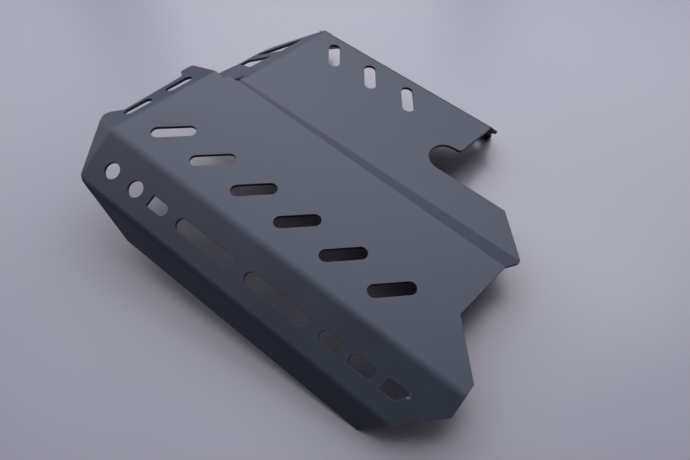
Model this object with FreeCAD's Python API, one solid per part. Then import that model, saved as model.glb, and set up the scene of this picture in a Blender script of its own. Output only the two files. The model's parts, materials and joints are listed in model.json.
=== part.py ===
import FreeCAD, Part
import math
import os

from FreeCAD import Matrix, Placement, Vector

# Motorcycle skid plate: one folded aluminium sheet, lying with its road face up.
# Lengths are millimetres and angles are degrees. The sheet is built with its
# large panel level, then tipped onto the three points that it rests on.

# Sheet
THICKNESS = 3.0
BEND_RADIUS = 11.0  # outside radius of the long folds
STEP_RADIUS = 7.0  # outside radius of the two folds of the shallow step
TIGHT_RADIUS = 6.0  # outside radius of the folds of the rear flange and bracket
CORNER_RADIUS = 4.0

# Main panel: level, with its outer side at height zero and X along its front fold
FRONT_Y = -42.0
LEFT_FRONT_X = -137.7
LEFT_REAR_X = -122.0
LEFT_REAR_Y = 77.0
NOSE_X = 246.7
NOSE_Y = -30.3
WAIST_X = 209.1
WAIST_Y = 11.2

# Slots
SLOT_WIDTH = 12.0
MAIN_SLOT_LENGTH = 41.0
MAIN_SLOT_ANGLE = 45.0
MAIN_SLOT_COUNT = 6
MAIN_SLOT_PITCH = 49.8
MAIN_SLOT_X = -94.3
MAIN_SLOT_Y = -6.4
REAR_SLOT_LENGTH = 35.0
REAR_SLOT_ANGLE = 127.5
REAR_SLOT_COUNT = 3
REAR_SLOT_PITCH = 47.4
REAR_SLOT_RUN = 44.3
REAR_SLOT_DROP = 95.2
FLANGE_SLOT_LENGTH = 30.0
FLANGE_SLOT_RUNS = (37.0, 84.0)
FLANGE_SLOT_DROP = 16.5

# Front face
FACE_ANGLE = 25.0
FACE_WIDTH = 53.0
FACE_LEFT_X = -134.1
FACE_CHAMFER_DROP = 18.9

# Row of holes along the front face
ROW_DROP = 29.0
ROW_HEIGHT = 11.5
ROUND_HOLE_DIAMETER = 15.5
ROUND_HOLE_XS = (-109.9, -79.5)
LONG_SLOT_LENGTH = 66.0
LONG_SLOT_XS = (5.3, 84.6)
HALF_SLOT_LENGTH = 20.5
HALF_SLOT_FLAT_XS = (-61.0, 151.3)
SHORT_SLOT_LENGTH = 23.4
SHORT_SLOT_X = 172.1
WEDGE_X = 193.3
WEDGE_TOP_LENGTH = 21.7
WEDGE_BOTTOM_LENGTH = 13.4
WEDGE_RADIUS = 1.5

# Lip below the front face
LIP_ANGLE = 44.0
LIP_WIDTH = 27.0
LIP_TOP_XS = (-129.2, 211.8)
LIP_SHOULDER_X = -113.0
LIP_SHOULDER_DROP = 6.0
LIP_BOTTOM_XS = (-66.0, 195.1)

# Left flange, with a slanted gusset between it and the front face
FLANGE_ANGLE = 25.0
FLANGE_FRONT_RUN = 4.0
FLANGE_FRONT_DROP = 34.0
FLANGE_TIP = (12.5, 43.0)
FLANGE_EDGE = ((26.0, 25.5), (96.0, 30.5))
FLANGE_TAB = ((101.0, 43.0), (116.0, 43.0))
FLANGE_END_RUN = 119.0
TIP_RADIUS = 7.0

# Step up to the rear panel: its two folds are not parallel, so its height grows
STEP_LEFT_X = -95.9
STEP_LEFT_Y = 80.5
STEP_RIGHT_X = 216.3
STEP_RIGHT_Y = 72.6
STEP_ANGLE = 14.7
STEP_WIDTHS = (3.6, 11.8)
EAR_X = 224.6
EAR_Y = 82.9

# Rear panel: runs are counted from the left end of the step, drops from its fold
REAR_ANGLE = 17.7
REAR_LEFT_RUNS = (0.7, 10.7)
REAR_LEFT_DROPS = (2.0, 121.0)
REAR_RIGHT_RUN = 223.3
REAR_RIGHT_DROP = 122.8
NOTCH_CORNER_RUN = 283.5
NOTCH_FRONT_DROP = 38.4
NOTCH_END_RUN = 194.4
NOTCH_REAR_DROP = 70.2
NOTCH_RADIUS = 15.8
NOTCH_DEPTH = 22.6
NOTCH_MOUTH_DROP = 71.8

# Flange folded down along the rear edge, with a slanted ear at its left end
HEM_ANGLE = 55.0
HEM_WIDTH = 12.0
HEM_START = 6.0
LEFT_EAR_ROOT_RUN = 26.3
LEFT_EAR_TIP = ((-16.0, 64.6), (-22.0, 52.0))
NIB = (220.0, 6.0)
NIB_BOTTOM_DROP = 15.5
NIB_RADIUS = 1.5

# Bolt tab at the right end of the rear flange, long enough to reach the ground
TAB_ROOT_RUN = 180.0
TAB_BOTTOM_RUN = 186.0
TAB_BOTTOM_DROPS = (42.1, 38.2)
TAB_ROOT_RADIUS = 6.0
TAB_HOLE_DIAMETER = 9.0
TAB_HOLE = (199.0, 26.0)

# Bracket at the rear left, whose front corner reaches the ground
BRACKET_ANGLE = 39.5
BRACKET_RUNS = (3.0, 116.5)
BRACKET_EDGE = ((116.5, 16.0), (104.0, 79.0), (94.0, 97.0), (60.0, 101.0))
BRACKET_EDGE_RADIUS = 10.0
BRACKET_FOOT = (8.0, 135.3)
BRACKET_FRONT_DROP = 136.0
FRONT_WINDOW = ((35.5, 38.0), (62.0, 31.0), (67.5, 90.0), (57.0, 94.5))
REAR_WINDOW = ((74.0, 27.0), (105.5, 25.0), (85.0, 89.5), (80.5, 90.5))
WINDOW_RADIUS = 2.0

# Working blocks
REACH = 450.0
FAR = 100.0
MARGIN = 12.0


class Panel:
    """Flat part of the sheet: an origin and a run and a drop direction."""

    def __init__(self, origin, run, drop):
        self.origin = origin
        self.run = run
        self.drop = drop
        self.normal = run.cross(drop)
        if self.normal.z < 0:
            self.normal = self.normal * -1

    def at(self, run, drop, depth=0.0):
        """Point at a run and a drop, sunk below the outer side."""
        return self.origin + self.run * run + self.drop * drop - self.normal * depth

    def folded(self, start, end, angle, side=1):
        """Panel hinged on a line of this one, lying to one side of that line."""
        origin = self.at(*start)
        run = (self.at(*end) - origin).normalize()
        level = run.cross(self.normal) * side
        turn = math.radians(angle)
        drop = level * math.cos(turn) - self.normal * math.sin(turn)
        return Panel(origin, run, drop)

    def holds(self, point, depth):
        """Whether a point lies on this panel's plane at a depth."""
        return abs((point - self.at(0, 0, depth)).dot(self.normal)) < 0.01

    def below(self, depth=0.0):
        """Block filling the space below this panel's plane."""
        corners = [(-REACH, -REACH), (REACH, -REACH), (REACH, REACH), (-REACH, REACH)]
        points = [self.at(run, drop, depth) for run, drop in corners]
        face = Part.Face(Part.makePolygon(points + points[:1]))
        return face.extrude(self.normal * -REACH)

    def plate(self, outline, radii=None):
        """Flat piece of sheet with the given outline."""
        points = [self.at(run, drop) for run, drop in outline]
        return prism(points, self.normal, 0.0, THICKNESS, radii)

    def cutter(self, outline, radii=None):
        """Block through the sheet with the given outline."""
        points = [self.at(run, drop) for run, drop in outline]
        return prism(points, self.normal, MARGIN, MARGIN, radii)

    def bore(self, run, drop, diameter):
        """Round cutter through the sheet."""
        top = self.at(run, drop, -MARGIN)
        return Part.makeCylinder(diameter / 2, 2 * MARGIN, top, self.normal * -1)

    def slot(self, run, drop, length, width, angle=0.0):
        """Round-ended cutter through the sheet."""
        turn = math.radians(angle)
        along = self.run * math.cos(turn) + self.drop * math.sin(turn)
        aside = self.normal.cross(along) * (width / 2)
        middle = self.at(run, drop, -MARGIN)
        tip = along * (length / 2)
        shoulder = along * ((length - width) / 2)
        near = Part.Arc(
            middle - shoulder + aside, middle - tip, middle - shoulder - aside
        )
        far = Part.Arc(
            middle + shoulder - aside, middle + tip, middle + shoulder + aside
        )
        low = Part.LineSegment(near.EndPoint, far.StartPoint)
        top = Part.LineSegment(far.EndPoint, near.StartPoint)
        sides = [near.toShape(), low.toShape(), far.toShape(), top.toShape()]
        return Part.Face(Part.Wire(sides)).extrude(self.normal * (-2 * MARGIN))


def prism(points, direction, above, below, radii=None):
    """Block along a direction whose sides pass through the given points."""
    base = points[0]
    corners = []
    for point in points:
        rise = (point - base).dot(direction)
        corners.append(point + direction * (above - rise))
    face = Part.Face(Part.makePolygon(corners + corners[:1]))
    solid = face.extrude(direction * (-above - below))
    for index, radius in (radii or {}).items():
        solid = solid.makeFillet(radius, [upright(solid, corners[index], direction)])
    return solid


def upright(solid, corner, direction):
    """The edge of a block that leaves a corner along a direction."""
    for edge in solid.Edges:
        offsets = [
            (vertex.Point - corner).cross(direction).Length for vertex in edge.Vertexes
        ]
        if len(offsets) == 2 and max(offsets) < 0.01:
            return edge
    raise ValueError("no edge leaves this corner")


def beyond(point, direction):
    """Block filling the space on the far side of a plane."""
    side = direction.cross(Vector(1, 0, 0))
    if side.Length < 0.1:
        side = direction.cross(Vector(0, 1, 0))
    side.normalize()
    other = direction.cross(side)
    corners = [
        point + side * REACH + other * REACH,
        point - side * REACH + other * REACH,
        point - side * REACH - other * REACH,
        point + side * REACH - other * REACH,
    ]
    return Part.Face(Part.makePolygon(corners + corners[:1])).extrude(direction * REACH)


def setback(parent, child, radius):
    """Distance from a fold line to the start of the curve of the fold."""
    return radius * math.tan(parent.normal.getAngle(child.normal) / 2)


def bend(parent, child, radius, ends, valley=False):
    """Curved strip between two panels, from one end of the fold to the other."""
    both = parent.normal + child.normal
    lift = 1 / (1 + parent.normal.dot(child.normal))
    sign = -1 if valley else 1
    outer = radius - THICKNESS if valley else radius
    start = child.at(ends[0], 0)
    axis = start - both * (lift * outer * sign)
    middle = both.normalize()
    inner = outer - THICKNESS * sign
    spokes = [parent.normal * sign, middle * sign, child.normal * sign]
    top = Part.Arc(*[axis + spoke * outer for spoke in spokes])
    low = Part.Arc(*[axis + spoke * inner for spoke in spokes[::-1]])
    sides = [
        top.toShape(),
        Part.LineSegment(top.EndPoint, low.StartPoint).toShape(),
        low.toShape(),
        Part.LineSegment(low.EndPoint, top.StartPoint).toShape(),
    ]
    profile = Part.Face(Part.Wire(sides))
    return profile.extrude(child.run * (ends[1] - ends[0]))


MAIN = Panel(Vector(0, 0, 0), Vector(1, 0, 0), Vector(0, 1, 0))
FACE = MAIN.folded((0, FRONT_Y), (1, FRONT_Y), FACE_ANGLE)
LIP = FACE.folded((0, FACE_WIDTH), (1, FACE_WIDTH), LIP_ANGLE)
FLANGE = MAIN.folded(
    (LEFT_FRONT_X, FRONT_Y), (LEFT_REAR_X, LEFT_REAR_Y), FLANGE_ANGLE, -1
)
STEP_ENDS = ((STEP_LEFT_X, STEP_LEFT_Y), (STEP_RIGHT_X, STEP_RIGHT_Y))
STEP_LENGTH = math.dist(*STEP_ENDS)
STEP = MAIN.folded(*STEP_ENDS, -STEP_ANGLE, -1)
CREST_ENDS = ((0, STEP_WIDTHS[0]), (STEP_LENGTH, STEP_WIDTHS[1]))
REAR = STEP.folded(*CREST_ENDS, REAR_ANGLE, -1)
SIDE_ENDS = (
    (REAR_LEFT_RUNS[0], REAR_LEFT_DROPS[0]),
    (REAR_LEFT_RUNS[1], REAR_LEFT_DROPS[1]),
)
BRACKET = REAR.folded(*SIDE_ENDS, BRACKET_ANGLE, -1)
EDGE_ENDS = (SIDE_ENDS[1], (REAR_RIGHT_RUN, REAR_RIGHT_DROP))
HEM = REAR.folded(*EDGE_ENDS, HEM_ANGLE, -1)
HEM_LENGTH = math.dist(*EDGE_ENDS)
# The same fold lines with nothing folded, to place edges beside them
REAR_FLAT = MAIN.folded(*STEP_ENDS, 0, -1)
STEP_FLAT = STEP.folded(*CREST_ENDS, 0, -1)
SIDE_FLAT = REAR.folded(*SIDE_ENDS, 0, -1)
EDGE_FLAT = REAR.folded(*EDGE_ENDS, 0, -1)

CORNER = MAIN.at(LEFT_FRONT_X, FRONT_Y)
GUSSET_REAR = FLANGE.at(FLANGE_FRONT_RUN, FLANGE_FRONT_DROP)


def gusset():
    """Panel through the corner, the flange's front end and the face's left end."""
    drop = FACE_WIDTH - setback(FACE, LIP, BEND_RADIUS)
    low = FACE.at(FACE_LEFT_X, drop)
    run = (low - CORNER).normalize()
    normal = run.cross(GUSSET_REAR - CORNER).normalize()
    return Panel(CORNER, run, normal.cross(run)), low


GUSSET, GUSSET_LOW = gusset()


def fold_edges(block, pairs, depth):
    """Edges of a block along the folds between pairs of panels."""
    edges = []
    for edge in block.Edges:
        points = [vertex.Point for vertex in edge.Vertexes]
        for pair in pairs:
            if all(panel.holds(point, depth) for panel in pair for point in points):
                edges.append(edge)
    return edges


def domed_corner():
    """Main panel, front face, left flange and gusset, folded from one sheet."""
    outer = MAIN.below().common(FACE.below()).common(FLANGE.below())
    outer = outer.common(GUSSET.below())
    pairs = [(MAIN, FACE), (MAIN, FLANGE), (FACE, GUSSET), (FLANGE, GUSSET)]
    outer = outer.makeFillet(BEND_RADIUS, fold_edges(outer, pairs, 0))
    inner = MAIN.below(THICKNESS).common(FACE.below(THICKNESS))
    inner = inner.common(FLANGE.below(THICKNESS))
    pairs = [(MAIN, FACE), (MAIN, FLANGE), (FACE, FLANGE)]
    edges = fold_edges(inner, pairs, THICKNESS)
    inner = inner.makeFillet(BEND_RADIUS - THICKNESS, edges)
    inner = inner.common(GUSSET.below(THICKNESS))
    return outer.cut(inner)



def front_sheet():
    """The domed corner trimmed to its outline, with the lip folded on below it."""
    curl = setback(FACE, LIP, BEND_RADIUS)
    back = setback(MAIN, STEP, STEP_RADIUS - THICKNESS)
    low = LIP.at(0, LIP_WIDTH).z - MARGIN
    corner = Vector(FLANGE.at(0, FAR / 2).x, LIP.at(0, FAR).y, low)
    room = Part.makeBox(
        NOSE_X - corner.x, STEP_LEFT_Y - corner.y + MARGIN, MARGIN - low, corner
    )
    sheet = domed_corner().common(room)
    sheet = sheet.cut(beyond(REAR_FLAT.at(0, -back), REAR_FLAT.drop))
    sheet = sheet.cut(beyond(FACE.at(0, FACE_WIDTH - curl), FACE.drop))
    sheet = sheet.cut([flange_waste(), gusset_waste()])
    lip = LIP.plate(
        [
            (LEFT_FRONT_X, curl),
            (NOSE_X, curl),
            (NOSE_X, LIP_WIDTH),
            (LEFT_FRONT_X, LIP_WIDTH),
        ]
    )
    strip = bend(FACE, LIP, BEND_RADIUS, (LEFT_FRONT_X, NOSE_X))
    return sheet.fuse([strip, lip]).cut(lip_waste())


def flange_waste():
    """Block beyond the edge of the left flange."""
    reach = FAR / FLANGE_FRONT_DROP
    outline = [
        (FLANGE_FRONT_RUN, FLANGE_FRONT_DROP),
        FLANGE_TIP,
        *FLANGE_EDGE,
        *FLANGE_TAB,
        (FLANGE_END_RUN, 0),
        (FLANGE_END_RUN, -MARGIN),
        (FLANGE_END_RUN + FAR, -MARGIN),
        (FLANGE_END_RUN + FAR, FAR),
        (FLANGE_FRONT_RUN * reach, FAR),
    ]
    radii = {
        1: TIP_RADIUS,
        2: TIP_RADIUS,
        3: CORNER_RADIUS,
        4: CORNER_RADIUS,
        5: CORNER_RADIUS,
    }
    return FLANGE.cutter(outline, radii)


def gusset_waste():
    """Block beyond the straight edge of the gusset."""
    away = (GUSSET_REAR - CORNER).normalize() * FAR
    along = (GUSSET_LOW - CORNER).normalize() * FAR
    points = [
        GUSSET_LOW,
        GUSSET_REAR,
        GUSSET_REAR + away,
        GUSSET_LOW + away + along,
        GUSSET_LOW + along,
    ]
    return prism(points, GUSSET.normal, MARGIN, MARGIN)


def lip_waste():
    """Blocks beyond the slanted left and right ends of the lip."""
    middle = (FACE.normal + LIP.normal).normalize()
    run = FACE.run * FAR
    shoulder = LIP.at(LIP_SHOULDER_X, LIP_SHOULDER_DROP)
    left_foot = LIP.at(LIP_BOTTOM_XS[0], LIP_WIDTH)
    left = [
        GUSSET_LOW,
        FACE.at(LIP_TOP_XS[0], FACE_WIDTH),
        shoulder,
        left_foot,
        left_foot + (left_foot - shoulder) * 0.2,
        left_foot - run + LIP.drop * FAR,
        GUSSET_LOW - run,
    ]
    chamfer = FACE.at(NOSE_X, FACE_CHAMFER_DROP)
    top = FACE.at(LIP_TOP_XS[1], FACE_WIDTH)
    right_foot = LIP.at(LIP_BOTTOM_XS[1], LIP_WIDTH)
    right = [
        chamfer,
        top,
        right_foot,
        right_foot + (right_foot - top) * 0.2,
        right_foot + run + LIP.drop * FAR,
        chamfer + run,
    ]
    return [
        prism(left, middle, 2 * MARGIN, 4 * MARGIN),
        prism(right, middle, 2 * MARGIN, 4 * MARGIN, {1: TIP_RADIUS}),
    ]


def step_pieces():
    """The two folds and the narrow slope that lift the rear panel."""
    back = setback(MAIN, STEP, STEP_RADIUS - THICKNESS)
    lead = setback(STEP, REAR, STEP_RADIUS)
    length = STEP_LENGTH + MARGIN
    points = [
        STEP.at(0, back),
        STEP.at(length, back),
        STEP_FLAT.at(length, -lead),
        STEP_FLAT.at(0, -lead),
    ]
    return [
        bend(MAIN, STEP, STEP_RADIUS, (0, length), valley=True),
        prism(points, STEP.normal, 0, THICKNESS),
        bend(STEP, REAR, STEP_RADIUS, (0, length)),
    ]


def rear_pieces():
    """Rear panel with its notch, the flange along its rear edge and the bracket."""
    lead = setback(STEP, REAR, STEP_RADIUS)
    side = setback(REAR, BRACKET, TIGHT_RADIUS)
    edge = setback(REAR, HEM, TIGHT_RADIUS)
    right = STEP_LENGTH + MARGIN
    points = [
        REAR.at(0, lead),
        REAR.at(*SIDE_ENDS[0]),
        SIDE_FLAT.at(BRACKET_RUNS[0], 0),
        SIDE_FLAT.at(BRACKET_RUNS[0], -side),
        SIDE_FLAT.at(BRACKET_RUNS[1], -side),
        SIDE_FLAT.at(BRACKET_RUNS[1], 0),
        REAR.at(*SIDE_ENDS[1]),
        EDGE_FLAT.at(HEM_START, 0),
        EDGE_FLAT.at(HEM_START, -edge),
        EDGE_FLAT.at(HEM_LENGTH, -edge),
        REAR.at(NOTCH_END_RUN + NOTCH_DEPTH, NOTCH_MOUTH_DROP),
        REAR.at(NOTCH_END_RUN, NOTCH_REAR_DROP),
        REAR.at(NOTCH_END_RUN, NOTCH_FRONT_DROP),
        REAR.at(right, NOTCH_FRONT_DROP),
        REAR.at(right, lead),
    ]
    radii = {6: NIB_RADIUS, 10: CORNER_RADIUS, 11: NOTCH_RADIUS, 12: NOTCH_RADIUS}
    hem = [
        (HEM_START, edge),
        (HEM_LENGTH, edge),
        NIB,
        (HEM_LENGTH, NIB_BOTTOM_DROP),
        (HEM_LENGTH, TAB_BOTTOM_DROPS[1]),
        (TAB_BOTTOM_RUN, TAB_BOTTOM_DROPS[0]),
        (TAB_ROOT_RUN, HEM_WIDTH),
        (LEFT_EAR_ROOT_RUN, HEM_WIDTH),
        *LEFT_EAR_TIP,
    ]
    hem_radii = {
        2: NIB_RADIUS,
        3: NIB_RADIUS,
        4: CORNER_RADIUS,
        5: CORNER_RADIUS,
        6: TAB_ROOT_RADIUS,
        7: TAB_ROOT_RADIUS,
        8: CORNER_RADIUS,
        9: CORNER_RADIUS,
    }
    bracket = [
        (BRACKET_RUNS[0], side),
        (BRACKET_RUNS[1], side),
        *BRACKET_EDGE,
        BRACKET_FOOT,
        (BRACKET_RUNS[0], BRACKET_FRONT_DROP),
    ]
    bracket_radii = {3: BRACKET_EDGE_RADIUS, 4: BRACKET_EDGE_RADIUS, 7: NIB_RADIUS}
    return [
        prism(points, REAR.normal, 0, THICKNESS, radii),
        bend(REAR, HEM, TIGHT_RADIUS, (HEM_START, HEM_LENGTH)),
        HEM.plate(hem, hem_radii),
        bend(REAR, BRACKET, TIGHT_RADIUS, BRACKET_RUNS),
        BRACKET.plate(bracket, bracket_radii),
    ]


def right_waste():
    """Block beyond the right side: nose, waist, ear and the slant of the notch."""
    ear = Vector(EAR_X, EAR_Y, 0)
    notch = REAR.at(NOTCH_CORNER_RUN, NOTCH_FRONT_DROP)
    notch.z = 0
    slant = notch + (notch - ear).normalize() * THICKNESS
    points = [
        slant,
        ear,
        MAIN.at(STEP_RIGHT_X, STEP_RIGHT_Y),
        MAIN.at(WAIST_X, WAIST_Y),
        MAIN.at(NOSE_X, NOSE_Y),
        MAIN.at(NOSE_X + FAR, NOSE_Y),
        slant + MAIN.run * FAR,
    ]
    return prism(points, MAIN.normal, MARGIN, MARGIN, {1: CORNER_RADIUS})


def slot_cutters():
    """Slots of the main panel, the rear panel and the left flange."""
    cutters = []
    for index in range(MAIN_SLOT_COUNT):
        x = MAIN_SLOT_X + index * MAIN_SLOT_PITCH
        slot = MAIN.slot(x, MAIN_SLOT_Y, MAIN_SLOT_LENGTH, SLOT_WIDTH, MAIN_SLOT_ANGLE)
        cutters.append(slot)
    for index in range(REAR_SLOT_COUNT):
        run = REAR_SLOT_RUN + index * REAR_SLOT_PITCH
        slot = REAR.slot(
            run, REAR_SLOT_DROP, REAR_SLOT_LENGTH, SLOT_WIDTH, REAR_SLOT_ANGLE
        )
        cutters.append(slot)
    for run in FLANGE_SLOT_RUNS:
        slot = FLANGE.slot(run, FLANGE_SLOT_DROP, FLANGE_SLOT_LENGTH, SLOT_WIDTH)
        cutters.append(slot)
    return cutters


def row_cutters():
    """Holes of the row along the front face, from left to right."""
    half = ROW_HEIGHT / 2
    cutters = [FACE.bore(x, ROW_DROP, ROUND_HOLE_DIAMETER) for x in ROUND_HOLE_XS]
    for x in LONG_SLOT_XS:
        cutters.append(FACE.slot(x, ROW_DROP, LONG_SLOT_LENGTH, ROW_HEIGHT))
    cutters.append(FACE.slot(SHORT_SLOT_X, ROW_DROP, SHORT_SLOT_LENGTH, ROW_HEIGHT))
    for flat, side in zip(HALF_SLOT_FLAT_XS, (1, -1)):
        slot = FACE.slot(flat, ROW_DROP, 2 * HALF_SLOT_LENGTH, ROW_HEIGHT)
        keep = [
            (flat, ROW_DROP - ROW_HEIGHT),
            (flat + side * FAR, ROW_DROP - ROW_HEIGHT),
            (flat + side * FAR, ROW_DROP + ROW_HEIGHT),
            (flat, ROW_DROP + ROW_HEIGHT),
        ]
        cutters.append(slot.common(FACE.cutter(keep)))
    wedge = [
        (WEDGE_X, ROW_DROP - half),
        (WEDGE_X + WEDGE_TOP_LENGTH, ROW_DROP - half),
        (WEDGE_X + WEDGE_BOTTOM_LENGTH, ROW_DROP + half),
        (WEDGE_X, ROW_DROP + half),
    ]
    radii = {index: WEDGE_RADIUS for index in range(len(wedge))}
    cutters.append(FACE.cutter(wedge, radii))
    return cutters


def window_cutters():
    """The two tapered windows of the bracket and the bolt hole of the tab."""
    radii = {index: WINDOW_RADIUS for index in range(4)}
    cutters = [BRACKET.cutter(shape, radii) for shape in (FRONT_WINDOW, REAR_WINDOW)]
    return cutters + [HEM.bore(*TAB_HOLE, TAB_HOLE_DIAMETER)]


def skid_plate():
    """The whole folded sheet in the frame of its main panel."""
    sheet = front_sheet().fuse(step_pieces() + rear_pieces())
    sheet = sheet.cut(
        [right_waste()] + slot_cutters() + row_cutters() + window_cutters()
    )
    return sheet.removeSplitter()


def at_rest(sheet):
    """The sheet tipped onto its lip's corner, its bracket's foot and its bolt tab."""
    corner = LIP.at(LIP_BOTTOM_XS[1], LIP_WIDTH, THICKNESS)
    toe = min(
        (vertex.Point for vertex in sheet.Vertexes),
        key=lambda point: (point - corner).Length,
    )
    foot = BRACKET.at(*BRACKET_FOOT, THICKNESS)
    middle = ((TAB_BOTTOM_RUN + HEM_LENGTH) / 2, sum(TAB_BOTTOM_DROPS) / 2)
    up = (foot - toe).cross(HEM.at(*middle, THICKNESS) - toe).normalize()
    if up.z < 0:
        up = up * -1
    ahead = (MAIN.run - up * MAIN.run.dot(up)).normalize()
    aside = up.cross(ahead)
    turn = Matrix(*ahead, 0, *aside, 0, *up, 0, 0, 0, 0, 1)
    placed = sheet.copy()
    placed.Placement = Placement(turn)
    box = placed.optimalBoundingBox()
    shift = Vector(-box.Center.x, -box.Center.y, -box.ZMin)
    placed.Placement = Placement(shift, Placement(turn).Rotation)
    return placed


os.makedirs("parts", exist_ok=True)
at_rest(skid_plate()).exportStep("parts/skid_plate.step")
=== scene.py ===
"""Motorcycle skid plate: one folded aluminium sheet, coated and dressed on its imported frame."""

import json
import logging
import math
from dataclasses import dataclass, field
from enum import Enum

import bpy
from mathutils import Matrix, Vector

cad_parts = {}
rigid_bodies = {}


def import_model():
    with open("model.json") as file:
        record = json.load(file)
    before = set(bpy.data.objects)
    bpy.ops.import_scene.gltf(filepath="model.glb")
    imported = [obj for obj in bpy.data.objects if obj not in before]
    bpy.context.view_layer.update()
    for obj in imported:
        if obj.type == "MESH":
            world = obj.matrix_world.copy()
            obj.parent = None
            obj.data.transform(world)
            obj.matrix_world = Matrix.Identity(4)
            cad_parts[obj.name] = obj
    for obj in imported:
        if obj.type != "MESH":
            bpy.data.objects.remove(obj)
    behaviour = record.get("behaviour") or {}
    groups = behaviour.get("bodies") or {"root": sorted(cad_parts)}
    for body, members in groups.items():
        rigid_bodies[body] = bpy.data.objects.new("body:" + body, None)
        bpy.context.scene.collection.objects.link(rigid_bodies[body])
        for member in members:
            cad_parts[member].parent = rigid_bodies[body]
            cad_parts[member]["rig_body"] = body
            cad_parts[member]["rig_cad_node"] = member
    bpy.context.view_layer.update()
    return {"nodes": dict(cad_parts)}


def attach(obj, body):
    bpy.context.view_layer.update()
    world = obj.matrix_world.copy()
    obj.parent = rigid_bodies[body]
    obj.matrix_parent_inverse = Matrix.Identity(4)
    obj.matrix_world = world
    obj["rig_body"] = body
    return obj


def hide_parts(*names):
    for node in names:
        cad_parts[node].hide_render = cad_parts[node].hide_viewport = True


Colour = tuple[float, float, float]
Point = tuple[float, float, float]
Span = tuple[float, float]
LOG = logging.getLogger("skid_plate")
SHEET_NODE = "skid_plate"
BODY = "root"
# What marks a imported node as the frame's own, and a copy of it mustn't keep.
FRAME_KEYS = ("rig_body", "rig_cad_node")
# A random pattern runs from 0 to 1 around this value.
PATTERN_MIDDLE = 0.5


class Slot(Enum):
    """The two finishes of the sheet, by their place in its list of materials."""

    COAT = 0
    CUT_EDGE = 1


class MixKind(Enum):
    """What a Mix node mixes: its data type, and the places of its inputs and its output."""

    COLOUR = ("RGBA", 6, 7, 2)
    VECTOR = ("VECTOR", 4, 5, 1)


class Wire:
    """A shader socket that takes part in Python expressions; each operator adds a Math node."""

    def __init__(self, tree: bpy.types.NodeTree, socket: bpy.types.NodeSocket) -> None:
        """Wraps a socket.

        Args:
            tree: The node tree that the socket belongs to.
            socket: The output socket that carries the value.
        """
        self.tree = tree
        self.socket = socket

    def _math(self, operation: str, *values: "Wire | float") -> "Wire":
        """Adds one Math node.

        Args:
            operation: The node's operation.
            values: Its inputs in order, wires or numbers.

        Returns:
            The node's result.
        """
        node = self.tree.nodes.new("ShaderNodeMath")
        node.operation = operation
        for socket, value in zip(node.inputs, values):
            if isinstance(value, Wire):
                self.tree.links.new(value.socket, socket)
            else:
                socket.default_value = value
        return Wire(self.tree, node.outputs[0])

    def __add__(self, other: "Wire | float") -> "Wire":
        """Adds a wire or a number."""
        return self._math("ADD", self, other)

    def __radd__(self, other: float) -> "Wire":
        """Adds this wire to a number."""
        return self._math("ADD", other, self)

    def __sub__(self, other: "Wire | float") -> "Wire":
        """Takes a wire or a number away."""
        return self._math("SUBTRACT", self, other)

    def __rsub__(self, other: float) -> "Wire":
        """Takes this wire away from a number."""
        return self._math("SUBTRACT", other, self)

    def __mul__(self, other: "Wire | float") -> "Wire":
        """Multiplies by a wire or a number."""
        return self._math("MULTIPLY", self, other)

    def __rmul__(self, other: float) -> "Wire":
        """Multiplies a number by this wire."""
        return self._math("MULTIPLY", other, self)

    def __truediv__(self, other: "Wire | float") -> "Wire":
        """Divides by a wire or a number."""
        return self._math("DIVIDE", self, other)

    def above(self, limit: float) -> "Wire":
        """1 where this value is above a limit, and 0 elsewhere."""
        return self._math("GREATER_THAN", self, limit)

    def ramped(self, low: float, high: float) -> "Wire":
        """A straight ramp of this value, held between 0 and 1.

        Args:
            low: The value that gives 0.
            high: The value that gives 1.

        Returns:
            The ramp's result.
        """
        ramp = (self - low) / (high - low)
        ramp.socket.node.use_clamp = True
        return ramp


@dataclass(frozen=True)
class Pattern:
    """A soft random pattern: its patches' size in metres, and how many finer layers it has."""

    size: float
    detail: float


class Nodes:
    """The node tree of a material or a world, which starts empty."""

    def __init__(self, holder: bpy.types.Material | bpy.types.World) -> None:
        """Empties the tree.

        Args:
            holder: The material or the world that the tree belongs to.
        """
        holder.use_nodes = True
        self.holder = holder
        self.tree = holder.node_tree
        self.tree.nodes.clear()

    def add(
        self, kind: str, settings: dict[str, object], sockets: dict[str | int, object]
    ) -> bpy.types.Node:
        """Adds a node of any type.

        Args:
            kind: The node's type, without the ShaderNode prefix.
            settings: Its settings, which are set before its sockets.
            sockets: The values or wires of its sockets, by name or place.

        Returns:
            The node.
        """
        node = self.tree.nodes.new(f"ShaderNode{kind}")
        for key, value in settings.items():
            setattr(node, key, value)
        for key, value in sockets.items():
            if isinstance(value, Wire):
                self.tree.links.new(value.socket, node.inputs[key])
            else:
                node.inputs[key].default_value = value
        return node

    def wire(
        self,
        kind: str,
        settings: dict[str, object],
        sockets: dict[str | int, object],
        output: str | int,
    ) -> Wire:
        """Adds a node of any type and takes one of its outputs.

        Args:
            kind: The node's type, without the ShaderNode prefix.
            settings: Its settings, which are set before its sockets.
            sockets: The values or wires of its sockets, by name or place.
            output: The name or place of the output that is wanted.

        Returns:
            The wire from that output.
        """
        return Wire(self.tree, self.add(kind, settings, sockets).outputs[output])


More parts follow.
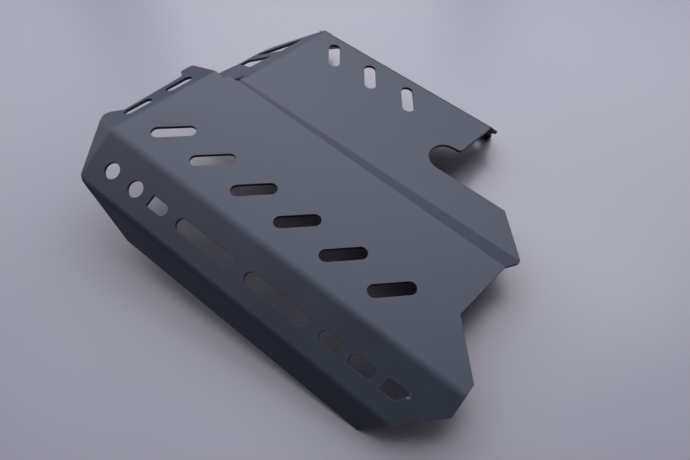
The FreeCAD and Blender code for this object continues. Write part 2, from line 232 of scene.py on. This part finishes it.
class Recipe(Nodes):
    """The node tree of one material, with the calls that its finish is written in."""

    def __init__(self, name: str) -> None:
        """Starts an empty material of the given name."""
        super().__init__(bpy.data.materials.new(name))

    def place(self) -> Wire:
        """The point on the piece, in metres."""
        return self.wire("TexCoord", {}, {}, "Object")

    def noise(self, pattern: Pattern) -> Wire:
        """A soft random pattern, from 0 to 1."""
        sockets = {
            "Vector": self.place(),
            "Scale": 1.0 / pattern.size,
            "Detail": pattern.detail,
        }
        return self.wire("TexNoise", {}, sockets, "Fac")

    def mix(
        self,
        kind: MixKind,
        factor: Wire,
        first: Wire | tuple[float, ...],
        second: Wire | tuple[float, ...],
    ) -> Wire:
        """Mixes two colours or two vectors.

        Args:
            kind: What is mixed.
            factor: 0 for the first and 1 for the second.
            first: A wire, or the socket's value.
            second: A wire, or the socket's value.

        Returns:
            What comes out of the mix.
        """
        data_type, first_place, second_place, output = kind.value
        sockets = {0: factor, first_place: first, second_place: second}
        return self.wire("Mix", {"data_type": data_type}, sockets, output)

    def blend(self, factor: Wire, first: Colour | Wire, second: Colour | Wire) -> Wire:
        """Mixes two colours.

        Args:
            factor: 0 for the first colour and 1 for the second.
            first: A colour or a wire.
            second: A colour or a wire.

        Returns:
            The mixed colour.
        """
        pair = [c if isinstance(c, Wire) else (*c, 1.0) for c in (first, second)]
        return self.mix(MixKind.COLOUR, factor, *pair)

    def vector(self, operation: str, *inputs: Wire | Point, output: str = "Vector") -> Wire:
        """Adds one Vector Math node.

        Args:
            operation: The node's operation.
            inputs: Its vectors in order, wires or points.
            output: The name of the output that is wanted.

        Returns:
            The wire from that output.
        """
        return self.wire("VectorMath", {"operation": operation}, dict(enumerate(inputs)), output)

    def dot(self, first: Wire | Point, second: Wire | Point) -> Wire:
        """The dot product of two vectors."""
        return self.vector("DOT_PRODUCT", first, second, output="Value")

    def scaled(self, vector: Wire | Point, factor: Wire) -> Wire:
        """A vector times a value that changes over the surface."""
        sockets = {0: vector, "Scale": factor}
        return self.wire("VectorMath", {"operation": "SCALE"}, sockets, "Vector")

    def near(self, point: Point, reach: float) -> Wire:
        """A soft ball of influence around a point.

        Args:
            point: The middle of the ball, in metres.
            reach: The ball's radius in metres.

        Returns:
            1 at the middle, falling to 0 at the ball's edge.
        """
        away = self.vector("DISTANCE", self.place(), point, output="Value")
        return away.ramped(reach, 0.0)

    def bumped(self, height: Wire, depth: float, normal: Wire) -> Wire:
        """A surface normal with relief.

        Args:
            height: The relief, from 0 to 1.
            depth: The height of 1 in metres.
            normal: The normal that the relief stands on.

        Returns:
            The normal for the surface shader.
        """
        sockets = {"Height": height, "Distance": depth, "Normal": normal}
        return self.wire("Bump", {}, sockets, "Normal")

    def finish(self, sockets: dict[str | int, object]) -> bpy.types.Material:
        """Adds the surface shader and the output.

        Args:
            sockets: The values or wires of the surface shader's sockets.

        Returns:
            The finished material.
        """
        surface = self.wire("BsdfPrincipled", {}, sockets, "BSDF")
        self.add("OutputMaterial", {}, {"Surface": surface})
        return self.holder


@dataclass(frozen=True)
class SoftFold:
    """A long fold whose shading turns evenly over a strip somewhat wider than its curve.

    Attributes:
        place: A point in the middle of the fold, in metres.
        first: The direction that the panel before the fold faces.
        second: The direction that the panel after the fold faces.
        reach: Half the width of the strip, in metres.
        span: Where the strip starts and ends along the fold, in metres from place.
        slack: How far outside the two directions a surface still counts, as a cosine.
    """

    place: Point
    first: Point
    second: Point
    reach: float
    span: Span = (-0.3, 0.3)
    slack: float = 0.006

    def run(self, recipe: Recipe, way: Vector) -> Wire:
        """How far the point on the piece lies from the fold's point, along a direction."""
        return recipe.dot(recipe.place(), way[:]) - way.dot(Vector(self.place))

    def turned(self, recipe: Recipe, normal: Wire) -> Wire:
        """Turns the normal evenly across the fold, on its outer side only.

        Args:
            recipe: The material that is being made.
            normal: The surface's own normal.

        Returns:
            The normal with the fold in it.
        """
        first, second = Vector(self.first).normalized(), Vector(self.second).normalized()
        middle = (first + second).normalized()
        change = second - first
        across = change.normalized()
        share = self.run(recipe, across).ramped(-self.reach, self.reach)
        part = recipe.vector("ADD", recipe.scaled(change[:], share), first[:])
        soft = recipe.vector("NORMALIZE", part)
        outer = recipe.dot(normal, middle[:]).above(first.dot(middle) - self.slack)
        inside = (share * (1.0 - share)).above(0.0)
        along = self.run(recipe, middle.cross(across))
        beside = ((along - self.span[0]) * (self.span[1] - along)).above(0.0)
        return recipe.mix(MixKind.VECTOR, outer * inside * beside, normal, soft)


FRONT_FOLD = SoftFold(
    place=(-0.017579, -0.107256, 0.070689),
    first=(0.13175, 0.06136, 0.98938),
    second=(0.12283, -0.36622, 0.92239),
    reach=0.0038,
)
BRACKET_FOLD = SoftFold(
    place=(-0.112788, 0.020531, 0.076265),
    first=(0.12454, 0.11359, 0.98569),
    second=(-0.53352, 0.14025, 0.83408),
    reach=0.0048,
    span=(-0.125, -0.003),
)


@dataclass(frozen=True)
class PowderCoat:
    """A fine matt powder coat: a close grain, a faint cloudiness and a soft sheen."""

    name: str = "powder_coat"
    dark: Colour = (0.0315, 0.0388, 0.0615)
    light: Colour = (0.0382, 0.0467, 0.0745)
    sheen: Colour = (0.80, 0.83, 0.99)
    clouds: Pattern = Pattern(0.045, 4.0)
    cloud_range: Span = (0.32, 0.68)
    grain: Pattern = Pattern(0.0009, 1.0)
    grain_depth: float = 0.000035
    peel: Pattern = Pattern(0.0042, 1.0)
    peel_depth: float = 0.00005
    roughness: float = 0.478
    roughness_swing: float = 0.06
    fleck: Colour = (0.11, 0.115, 0.13)
    flecks: Pattern = Pattern(0.0022, 0.0)
    fleck_range: Span = (0.79, 0.84)
    fleck_strength: float = 0.12
    bare: Colour = (0.72, 0.73, 0.75)
    scrape_points: tuple[Point, ...] = (
        (0.1925, -0.1284, 0.0344),
        (0.1927, -0.1324, 0.0327),
        (0.1934, -0.1318, 0.0329),
        (0.1941, -0.1312, 0.0330),
    )
    scrape_reach: float = 0.0014
    scrape_raggedness: float = 0.8
    scrape_range: Span = (0.45, 0.6)
    scrape_polish: float = 0.15
    folds: tuple[SoftFold, ...] = (FRONT_FOLD, BRACKET_FOLD)

    def material(self) -> bpy.types.Material:
        """Makes the coat's material.

        Returns:
            A material with its colour, sheen and relief from nodes.
        """
        recipe = Recipe(self.name)
        clouds = recipe.noise(self.clouds)
        grain = recipe.noise(self.grain)
        flecks = recipe.noise(self.flecks).ramped(*self.fleck_range)
        paint = recipe.blend(clouds.ramped(*self.cloud_range), self.dark, self.light)
        paint = recipe.blend(flecks * self.fleck_strength, paint, self.fleck)
        worn = self.worn(recipe, grain)
        roughness = self.roughness + (clouds - PATTERN_MIDDLE) * self.roughness_swing
        sockets = {
            "Base Color": recipe.blend(worn, paint, self.bare),
            "Metallic": worn,
            "Roughness": roughness - worn * self.scrape_polish,
            "Normal": self.relief(recipe, grain),
            "Specular Tint": (*self.sheen, 1.0),
        }
        return recipe.finish(sockets)

    def worn(self, recipe: Recipe, grain: Wire) -> Wire:
        """Finds where the coat is scraped through.

        Args:
            recipe: The material that is being made.
            grain: The close pattern, which makes a scrape's edge ragged.

        Returns:
            1 on bare metal and 0 on the coat.
        """
        scrapes = sum(recipe.near(point, self.scrape_reach) for point in self.scrape_points)
        ragged = scrapes + (grain - PATTERN_MIDDLE) * self.scrape_raggedness
        return ragged.ramped(*self.scrape_range)

    def relief(self, recipe: Recipe, grain: Wire) -> Wire:
        """Makes the coat's relief: a slow orange peel under a close grain, over soft folds.

        Args:
            recipe: The material that is being made.
            grain: The close pattern.

        Returns:
            The normal for the surface shader.
        """
        height = recipe.noise(self.peel) * (self.peel_depth / self.grain_depth) + grain
        normal = recipe.wire("TexCoord", {}, {}, "Normal")
        for fold in self.folds:
            normal = fold.turned(recipe, normal)
        return recipe.bumped(height, self.grain_depth, normal)


@dataclass(frozen=True)
class FloorPaint:
    """The plain pale floor."""

    name: str = "studio_floor"
    colour: Colour = (0.280, 0.276, 0.355)
    mottle: Colour = (0.292, 0.288, 0.368)
    clouds: Pattern = Pattern(0.4, 2.0)
    roughness: float = 0.3

    def material(self) -> bpy.types.Material:
        """Makes the floor's material.

        Returns:
            A material with a faint mottle.
        """
        recipe = Recipe(self.name)
        colour = recipe.blend(recipe.noise(self.clouds), self.colour, self.mottle)
        return recipe.finish({"Base Color": colour, "Roughness": self.roughness})


@dataclass
class FoldedSheet:
    """The folded sheet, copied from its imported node, with eased cut edges and smooth folds."""

    name: str = "coated_sheet"
    merge_distance: float = 2e-6
    flat_angle: float = 0.05
    cut_angle: float = 50.0
    edge_ease: float = 0.0003
    edge_segments: int = 2
    smooth_angle: float = 22.0
    flat_weight: int = 100
    coat: PowderCoat = field(default_factory=PowderCoat)
    # The cut edges' coat is darker than the sheet's coat: painted shade over the rounded edges,
    # which would otherwise catch the lamps.
    edge: PowderCoat = field(
        default_factory=lambda: PowderCoat(
            name="coated_cut_edge",
            dark=(0.023, 0.028, 0.045),
            light=(0.028, 0.034, 0.054),
            roughness=0.5,
        )
    )

    def build(self, node: bpy.types.Object) -> bpy.types.Object:
        """Makes the sheet's mesh and gives it its finishes.

        Args:
            node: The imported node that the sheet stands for.

        Returns:
            The sheet, in place.
        """
        clear_selection()
        bpy.context.view_layer.objects.active = node
        node.select_set(True)
        bpy.ops.object.duplicate()
        piece = bpy.context.view_layer.objects.active
        piece.name = self.name
        piece.data.name = self.name
        piece.parent = None
        for key in FRAME_KEYS:
            del piece[key]
        self.join_triangles()
        self.dress(piece)
        self.ease_edges(piece)
        self.smooth_folds(piece)
        return piece

    def join_triangles(self) -> None:
        """Merges the loose triangles of the active piece and joins those that lie flat."""
        bpy.ops.object.mode_set(mode="EDIT")
        bpy.ops.mesh.customdata_custom_splitnormals_clear()
        bpy.ops.mesh.select_all(action="SELECT")
        bpy.ops.mesh.remove_doubles(threshold=self.merge_distance)
        bpy.ops.mesh.dissolve_limited(angle_limit=math.radians(self.flat_angle))
        bpy.ops.object.mode_set(mode="OBJECT")

    def dress(self, piece: bpy.types.Object) -> None:
        """Gives the sheet its coat, and the finish that its eased edges take, which is darker than
        the coat as painted shade.
        """
        piece.data.materials[Slot.COAT.value] = self.coat.material()
        piece.data.materials.append(self.edge.material())

    def ease_edges(self, piece: bpy.types.Object) -> None:
        """Rounds the cut edges of the sheet, which take the edge finish.

        Args:
            piece: The sheet.
        """
        bevel = piece.modifiers.new("eased_edges", "BEVEL")
        bevel.width = self.edge_ease
        bevel.segments = self.edge_segments
        bevel.limit_method = "ANGLE"
        bevel.angle_limit = math.radians(self.cut_angle)
        bevel.use_clamp_overlap = False
        bevel.harden_normals = False
        # The bevel faces take the darker edge coat, which is painted shade.
        bevel.material = Slot.CUT_EDGE.value
        bpy.ops.object.modifier_apply(modifier=bevel.name)

    def smooth_folds(self, piece: bpy.types.Object) -> None:
        """Shades the folds smooth and keeps the panels between them flat.

        Args:
            piece: The sheet.
        """
        bpy.ops.object.shade_smooth_by_angle(angle=math.radians(self.smooth_angle))
        flats = piece.modifiers.new("flat_panels", "WEIGHTED_NORMAL")
        flats.mode = "FACE_AREA"
        flats.weight = self.flat_weight
        flats.keep_sharp = True
        bpy.ops.object.modifier_apply(modifier=flats.name)


@dataclass
class PhotoCamera:
    """The camera, where the photograph was taken from; its turn is in degrees."""

    place: Point = (0.25175, -0.24324, 0.45021)
    turn: Point = (33.3949, 3.3929, 38.0561)
    lens: float = 29.1014
    sensor: float = 36.0
    nearest: float = 0.01

    def build(self) -> None:
        """Adds the camera and makes it the scene's own."""
        turn = [math.radians(angle) for angle in self.turn]
        bpy.ops.object.camera_add(location=self.place, rotation=turn)
        camera = bpy.context.object
        camera.name = "camera"
        camera.data.lens = self.lens
        camera.data.sensor_width = self.sensor
        camera.data.clip_start = self.nearest
        bpy.context.scene.camera = camera


@dataclass(frozen=True)
class Softbox:
    """One square lamp that faces the part from a bearing and a height, both in degrees."""

    name: str
    bearing: float
    height: float
    watts: float
    size: float = 1.3
    distance: float = 2.2

    def build(self) -> None:
        """Adds the lamp; its bearing runs from +Y towards +X."""
        turn, climb = math.radians(self.bearing), math.radians(self.height)
        level = math.cos(climb)
        away = Vector((level * math.sin(turn), level * math.cos(turn), math.sin(climb)))
        aim = away.to_track_quat("Z", "Y").to_euler()
        bpy.ops.object.light_add(type="AREA", location=away * self.distance, rotation=aim)
        lamp = bpy.context.object
        lamp.name = self.name
        lamp.data.shape = "SQUARE"
        lamp.data.size = self.size
        lamp.data.energy = self.watts


@dataclass
class Studio:
    """The floor, the lamps and the surroundings: a broad bank of light from the rear left."""

    floor_radius: float = 1.5
    floor_sides: int = 128
    ambient: Colour = (0.95, 0.97, 1.0)
    ambient_strength: float = 0.01
    backdrop: Colour = (0.28, 0.275, 0.33)
    backdrop_strength: float = 1.0
    paint: FloorPaint = field(default_factory=FloorPaint)
    lamps: tuple[Softbox, ...] = (
        Softbox("rear_left_softbox", 315.0, 42.0, 16.6),
        Softbox("rear_softbox", 0.0, 42.0, 14.6),
        Softbox("left_softbox", 270.0, 42.0, 7.8),
        Softbox("rear_right_softbox", 45.0, 42.0, 6.0),
        Softbox("front_left_softbox", 225.0, 42.0, 0.7),
        Softbox("high_rear_softbox", 0.0, 66.0, 11.6),
        Softbox("high_left_softbox", 300.0, 66.0, 5.8),
        Softbox("high_front_softbox", 240.0, 66.0, 5.7),
        Softbox("low_left_softbox", 270.0, 18.0, 4.4),
        Softbox("low_rear_left_softbox", 315.0, 18.0, 1.6),
    )

    def build(self) -> None:
        """Adds everything around the part."""
        clear_selection()
        self.lay_floor()
        for lamp in self.lamps:
            lamp.build()
        self.surround()
        bpy.context.scene.view_settings.view_transform = "Standard"

    def lay_floor(self) -> None:
        """Adds the round floor that the part rests on."""
        bpy.ops.mesh.primitive_circle_add(
            vertices=self.floor_sides, radius=self.floor_radius, fill_type="NGON"
        )
        floor = bpy.context.object
        floor.name = "floor"
        floor.data.materials.append(self.paint.material())

    def surround(self) -> None:
        """Sets the even light from all round, behind a pale backdrop that only the camera sees."""
        nodes = Nodes(bpy.data.worlds.new("surround"))
        light = self.background(nodes, self.ambient, self.ambient_strength)
        backdrop = self.background(nodes, self.backdrop, self.backdrop_strength)
        camera_ray = nodes.wire("LightPath", {}, {}, "Is Camera Ray")
        sockets = {"Fac": camera_ray, 1: light, 2: backdrop}
        mixed = nodes.wire("MixShader", {}, sockets, "Shader")
        nodes.add("OutputWorld", {}, {"Surface": mixed})
        bpy.context.scene.world = nodes.holder

    def background(self, nodes: Nodes, colour: Colour, strength: float) -> Wire:
        """Adds one background to the world.

        Args:
            nodes: The world's nodes.
            colour: The background's colour.
            strength: Its strength.

        Returns:
            The wire that carries it.
        """
        sockets = {"Color": (*colour, 1.0), "Strength": strength}
        return nodes.wire("Background", {}, sockets, "Background")


def clear_selection() -> None:
    """Leaves nothing selected."""
    bpy.ops.object.select_all(action="DESELECT")


def empty_scene() -> None:
    """Removes what a new file starts with."""
    bpy.ops.object.select_all(action="SELECT")
    bpy.ops.object.delete()


def main() -> None:
    """Builds the dressed part and its studio."""
    logging.basicConfig(level=logging.INFO, format="%(message)s")
    empty_scene()
    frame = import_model()
    sheet = FoldedSheet().build(frame["nodes"][SHEET_NODE])
    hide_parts(SHEET_NODE)
    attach(sheet, BODY)
    LOG.info("%s: %d faces", sheet.name, len(sheet.data.polygons))
    Studio().build()
    LOG.info("studio: floor and lamps")
    PhotoCamera().build()
    LOG.info("camera: placed")


if __name__ == "__main__":
    main()
